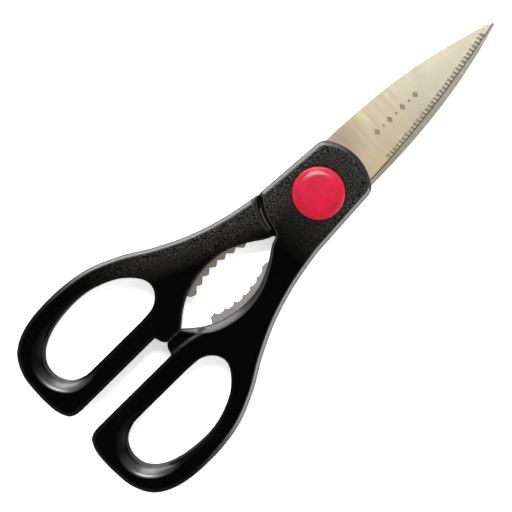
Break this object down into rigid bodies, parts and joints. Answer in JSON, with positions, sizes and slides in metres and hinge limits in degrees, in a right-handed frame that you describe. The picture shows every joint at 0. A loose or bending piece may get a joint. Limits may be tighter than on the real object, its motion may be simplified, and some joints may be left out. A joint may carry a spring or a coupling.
{
  "type": "poultry shears",
  "caption": "Poultry shears: two steel blades on one capped pivot bolt, moulded finger-loop handles, toothed cracker jaws between them, and a finely serrated front blade.",
  "frame": {"origin": "centre of the bounding box in X and Y, on the plane that the back faces rest on", "axes": "+X along the closed blades towards the tip, +Z out of the front cap, away from the resting plane"},
  "size_m": [0.2176, 0.0846, 0.0145],
  "materials": {
    "handle_plastic": "fine spark-eroded texture with smooth chamfers",
    "blade_steel": "ground and polished stainless steel",
    "fastener_steel": "bright zinc-plated steel",
    "cap_plastic": "glossy moulded red"
  },
  "bodies": {
    "front_half": {"front_handle": "handle_plastic", "front_blade": "blade_steel", "pivot_bolt": "fastener_steel", "flat_washer": "fastener_steel", "spring_washer": "fastener_steel", "pivot_nut": "fastener_steel", "front_cap": "cap_plastic"},
    "rear_half": {"rear_handle": "handle_plastic", "rear_blade": "blade_steel", "rear_cap": "cap_plastic"}
  },
  "joints": [
    {"name": "blade_pivot", "type": "hinge", "parent": "front_half", "child": "rear_half", "pos_m": [0.01725, 0, 0.0065], "axis": [0, 0, -1], "range_deg": [0, 100]}
  ]
}
